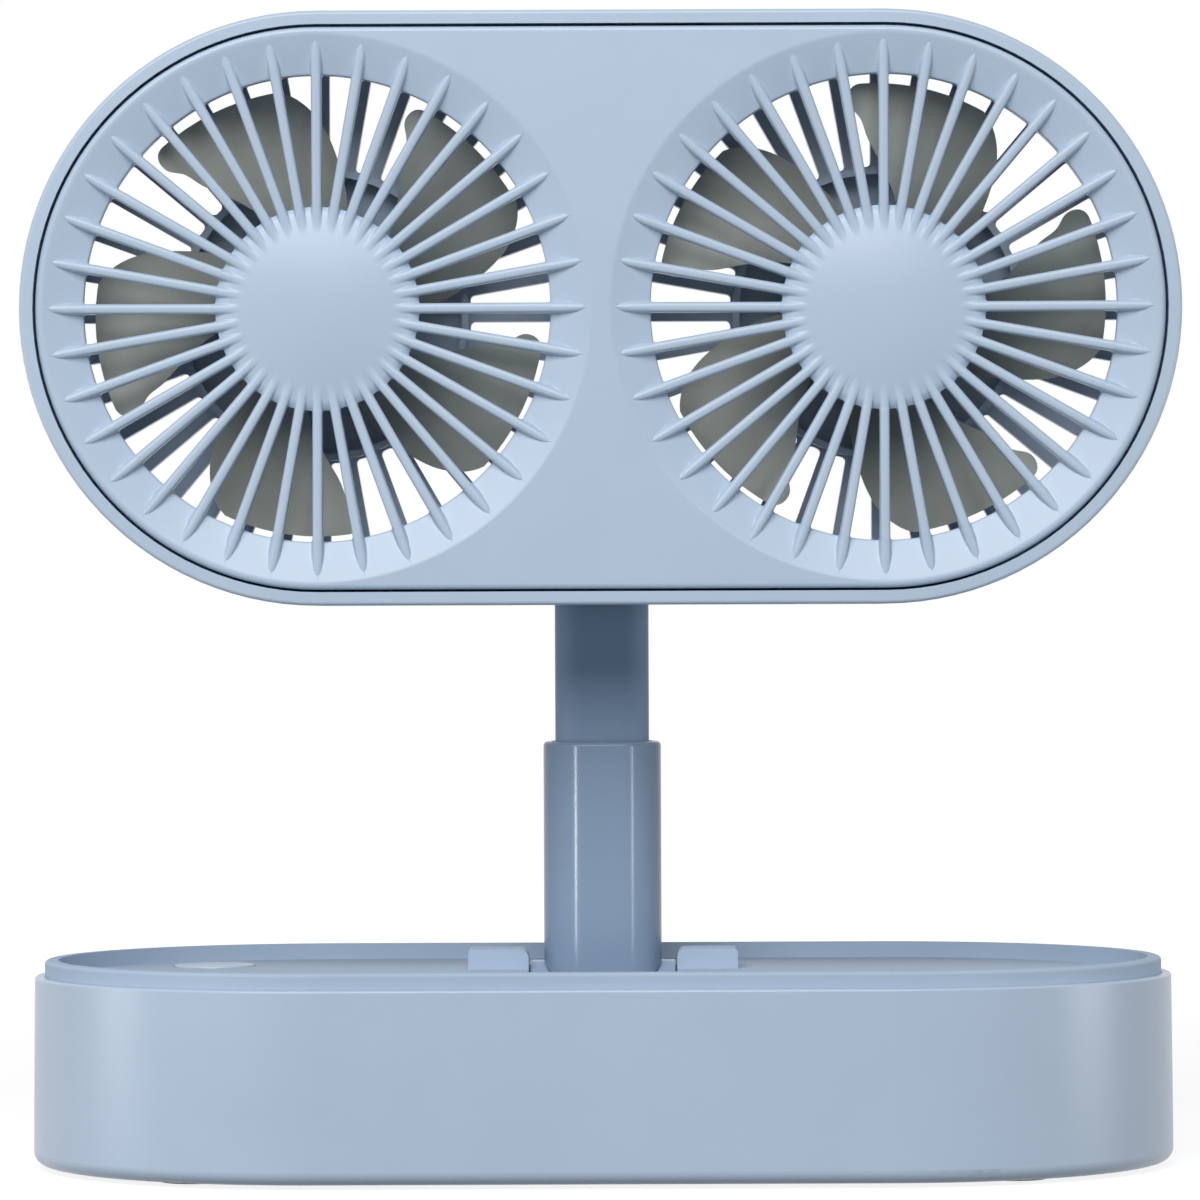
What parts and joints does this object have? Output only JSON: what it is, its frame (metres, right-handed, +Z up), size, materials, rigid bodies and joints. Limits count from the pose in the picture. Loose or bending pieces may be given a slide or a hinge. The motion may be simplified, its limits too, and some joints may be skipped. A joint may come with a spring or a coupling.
{
  "type": "folding twin desk fan",
  "caption": "Stadium-shaped head with two caged fans on a telescoping arm that folds into a tray in a matching stadium-shaped base.",
  "frame": {"origin": "middle of the base at the table, under the feet", "axes": "+Z up, -Y towards the front grilles, +X to the right seen from the front"},
  "size_m": [0.206, 0.1054, 0.2066],
  "materials": {
    "case_plastic": "fine satin moulding",
    "arm_plastic": "satin moulding",
    "blade_plastic": "milky, see-through",
    "sleeve_plastic": "slippery, natural",
    "foot_rubber": "matt",
    "steel": "zinc plated",
    "motor_steel": "drawn can",
    "bronze": "sintered",
    "cell_wrap": "shrink wrap",
    "board": "solder mask",
    "switch_plastic": "satin",
    "lead_sleeve": "smooth"
  },
  "bodies": {
    "base": {"base_shell": "case_plastic", "deck_tray": "case_plastic", "rubber_feet": "foot_rubber", "base_screws": "steel", "base_hinge_pin": "steel", "hinge_clips": "steel", "hinge_washers": "steel", "battery_cells": "cell_wrap", "battery_cradles": "sleeve_plastic", "cell_link_strip": "steel", "control_board": "board", "board_screws": "steel", "button_switch": "switch_plastic", "charging_socket": "steel"},
    "button": {"power_button": "case_plastic"},
    "lower_arm": {"hinge_foot": "arm_plastic", "lower_tube": "arm_plastic", "foot_screws": "steel", "friction_sleeve": "sleeve_plastic"},
    "upper_arm": {"upper_tube": "arm_plastic", "slide_stop": "sleeve_plastic", "head_knuckle": "arm_plastic", "knuckle_screws": "steel", "head_hinge_pin": "steel"},
    "head": {"rear_housing": "case_plastic", "front_cover": "case_plastic", "head_bracket": "arm_plastic", "bracket_screws": "steel", "head_screws": "steel", "motor_screws": "steel", "motor_leads": "lead_sleeve", "left_motor": "motor_steel", "left_motor_cap": "sleeve_plastic", "left_motor_bush": "bronze", "right_motor": "motor_steel", "right_motor_cap": "sleeve_plastic", "right_motor_bush": "bronze"},
    "left_fan": {"left_impeller": "blade_plastic", "left_motor_shaft": "steel"},
    "right_fan": {"right_impeller": "blade_plastic", "right_motor_shaft": "steel"}
  },
  "joints": [
    {"name": "arm_fold", "type": "hinge", "parent": "base", "child": "lower_arm", "pos_m": [0, 0.0175, 0.0284], "axis": [1, 0, 0], "range_deg": [0, 75]},
    {"name": "height_slide", "type": "slide", "parent": "lower_arm", "child": "upper_arm", "axis": [0, 0, 1], "range_m": [-0.028, 0]},
    {"name": "head_tilt", "type": "hinge", "parent": "upper_arm", "child": "head", "pos_m": [0, 0.0175, 0.1139], "axis": [1, 0, 0], "range_deg": [-100, 0]},
    {"name": "left_fan_spin", "type": "hinge", "parent": "head", "child": "left_fan", "pos_m": [-0.0503, 0.0175, 0.1539], "axis": [0, -1, 0], "continuous": true},
    {"name": "right_fan_spin", "type": "hinge", "parent": "head", "child": "right_fan", "pos_m": [0.0503, 0.0175, 0.1539], "axis": [0, -1, 0], "continuous": true},
    {"name": "button_press", "type": "slide", "parent": "base", "child": "button", "axis": [0, 0, -1], "range_m": [0, 0.0008], "stiffness_N_per_m": 800}
  ]
}
